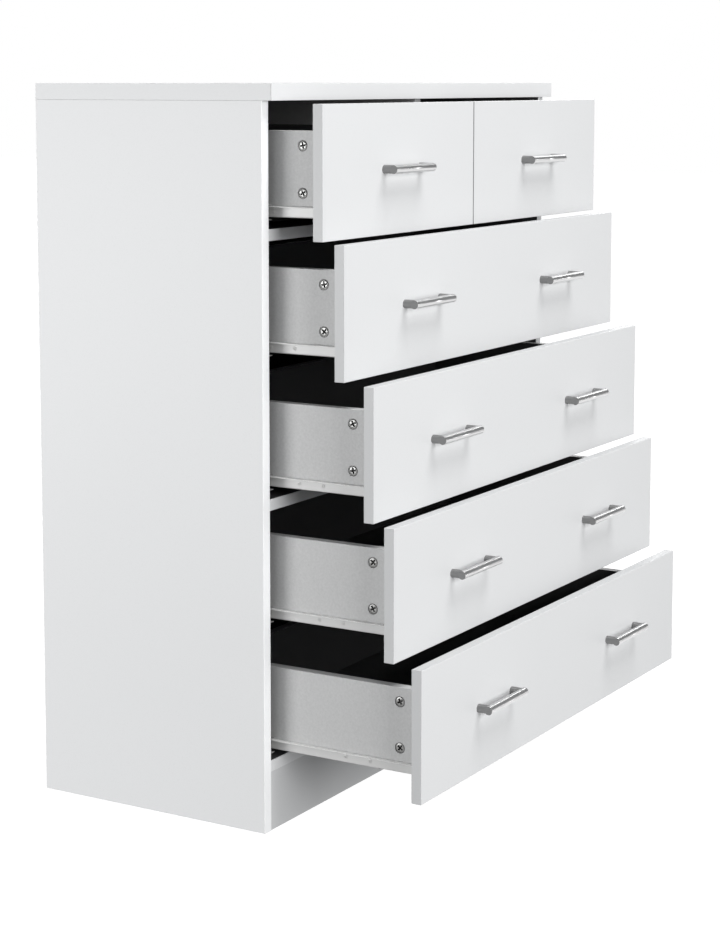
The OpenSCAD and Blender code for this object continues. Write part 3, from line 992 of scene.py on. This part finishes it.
# ---- Rollers ----
# Moulded nylon wheels on the runners' pins, with a rounded tread and a dished face.
nylon = Finish("moulded_nylon", (0.80, 0.80, 0.76), Roughness=0.4)
mould = nylon.noise(160, 2)
nylon.surface(
    Base_Color=nylon.mix(mould, (0.74, 0.74, 0.70, 1), (0.84, 0.84, 0.80, 1)),
    Roughness=0.34 + mould * 0.16,
)
nylon.relief(nylon.noise(800), 0.00002)
ROLLER_RADIUS = 8 * MM
ROLLER_WIDTH = 7 * MM
BORE_RADIUS = 2.55 * MM
DISH_RADIUS = 6.3 * MM
DISH_DEPTH = 0.8 * MM
HUB_RADIUS = 4.2 * MM
HUB_REACH = 2 * MM
half_width = ROLLER_WIDTH / 2
wheel = round_bar("wheel", (-half_width, 0, 0), (half_width, 0, 0), ROLLER_RADIUS, sides=48)
bore = round_bar("bore", (-ROLLER_WIDTH, 0, 0), (ROLLER_WIDTH, 0, 0), BORE_RADIUS, sides=32)
dishes = []
for side in (-1, 1):
    dish = round_bar(
        "dish",
        (side * (half_width - DISH_DEPTH), 0, 0),
        (side * (half_width + SKIN), 0, 0),
        DISH_RADIUS,
        sides=32,
    )
    hub = round_bar(
        "hub",
        (side * (half_width - HUB_REACH), 0, 0),
        (side * (half_width + HUB_REACH), 0, 0),
        HUB_RADIUS,
        sides=32,
    )
    dishes.append(cut(dish, hub))
cut(wheel, bore, *dishes)
eased(wheel, 0.4 * MM)
finished(wheel, nylon)
for drawer in DRAWERS:
    for end in ("front", "rear"):
        name = f"{drawer}_{end}_rollers"
        low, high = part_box(name)
        pair = [
            copied(
                wheel,
                "wheel",
                (x, (low.y + high.y) / 2, (low.z + high.z) / 2),
                (1, 0, 0),
            )
            for x in (low.x + half_width, high.x - half_width)
        ]
        fitted(named(joined(*pair), f"{name}_pair"), name, "nylon", name)

# ---- Handles ----
# Brushed nickel bars: a round rod between two legs of the same rod, mitred at the corners,
# with the legs' nickel painted darker as painted shade, each leg held by a screw from inside the
# drawer.
def brushed(name, colour, stretch):
    """Nickel plate brushed one way: fine scratches in its tone, sheen and relief."""
    finish = Finish(name, colour, Metallic=1.0)
    brushing = finish.noise(60, 4, stretch=stretch)
    patch = finish.noise(40, 2)
    finish.surface(
        Base_Color=finish.mix(brushing, shade(colour, 0.86), shade(colour, 1.14)),
        Roughness=0.24 + brushing * 0.12 + (patch - 0.5) * 0.05,
    )
    finish.relief(brushing, 0.00003)
    return finish


nickel = brushed("brushed_nickel", (0.64, 0.64, 0.64), (1, 30, 30))
# The legs' nickel is darker than the bar's: painted shade.
leg_nickel_painted_shade = brushed("handle_leg_nickel_painted_shade", (0.27, 0.27, 0.27), (30, 1, 30))
ROD = 6 * MM
FRONT_PLAY = 0.1 * MM
ONE_HANDLE = 200 * MM
handle_low, handle_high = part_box("upper_left_drawer_handles")
span = handle_high.x - handle_low.x
front_low, front_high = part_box("upper_left_drawer_front")
reach = front_low.y - handle_low.y - FRONT_PLAY


def mitred(rod, place, direction):
    """Saws a rod off along a plane and drops what lies past it."""
    only(rod)
    bpy.ops.object.mode_set(mode="EDIT")
    bpy.ops.mesh.select_all(action="SELECT")
    bpy.ops.mesh.bisect(plane_co=place, plane_no=direction, clear_outer=True)
    bpy.ops.object.mode_set(mode="OBJECT")
    return rod


bar = round_bar("bar", (-span / 2, -reach + ROD, 0), (span / 2, -reach + ROD, 0), ROD, sides=48)
for hand in (-1, 1):
    mitred(bar, (hand * span / 2, -reach, 0), (hand, -1, 0))
legs = []
for hand in (-1, 1):
    x = hand * (span / 2 - ROD)
    leg = round_bar("leg", (x, 0, 0), (x, -reach, 0), ROD, sides=48)
    mitred(leg, (hand * span / 2, -reach, 0), (-hand, -1, 0))
    legs.append(leg)
handle = joined(bar, *legs)
only(handle)
bpy.ops.object.mode_set(mode="EDIT")
bpy.ops.mesh.select_all(action="SELECT")
bpy.ops.mesh.remove_doubles(threshold=0.00005)
bpy.ops.mesh.normals_make_consistent(inside=False)
bpy.ops.object.mode_set(mode="OBJECT")
eased(handle, 0.25 * MM, segments=2, angle=40)
finished(
    handle,
    nickel,
    # Darker nickel on the legs: painted shade.
    (leg_nickel_painted_shade, lambda place, normal: place.y + reach > span / 2 - abs(place.x) + 0.02 * MM),
)
m4_head = screw_head("handle_screw", 4.0 * MM, 1.4 * MM, 1.0 * MM, zinc)
for drawer in DRAWERS:
    low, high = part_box(f"{drawer}_handles")
    front_low, front_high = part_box(f"{drawer}_front")
    if high.x - low.x < ONE_HANDLE:
        centres = [(low.x + high.x) / 2]
    else:
        centres = [low.x + span / 2, high.x - span / 2]
    parts = []
    for x in centres:
        z = (low.z + high.z) / 2
        parts.append(copied(handle, "handle", (x, front_low.y, z), (1, 0, 0)))
        for hand in (-1, 1):
            parts.append(
                copied(
                    m4_head,
                    "screw",
                    (x + hand * (span / 2 - ROD), front_high.y, z),
                    (0, 1, 0),
                    spin=hand + x,
                )
            )
    fitted(named(joined(*parts), f"{drawer}_bar_handles"), drawer, "nickel", f"{drawer}_handles")

# The models that were copied aren't part of the chest.
for model in (
    sunk_head, pan_head, box_head, runner_head, m4_head, *nut_models.values(), cam_bolt, wheel, handle
):
    bpy.data.objects.remove(model)

# ---- Floor ----
# A wide pale sweep that the chest stands on.
floor_paint = Finish("pale_floor", (0.12, 0.12, 0.12), Roughness=0.8, Emission_Strength=1.0)
floor_paint.shader.inputs["Emission Color"].default_value = (1, 1, 1, 1)
floor_paint.surface(Roughness=0.74 + floor_paint.noise(1.5) * 0.1)
bpy.ops.mesh.primitive_plane_add(size=40, location=(0, 0, -0.5 * MM))
floor = named(bpy.context.object, "floor")
floor.data.materials.append(floor_paint.material)
floor.visible_diffuse = False
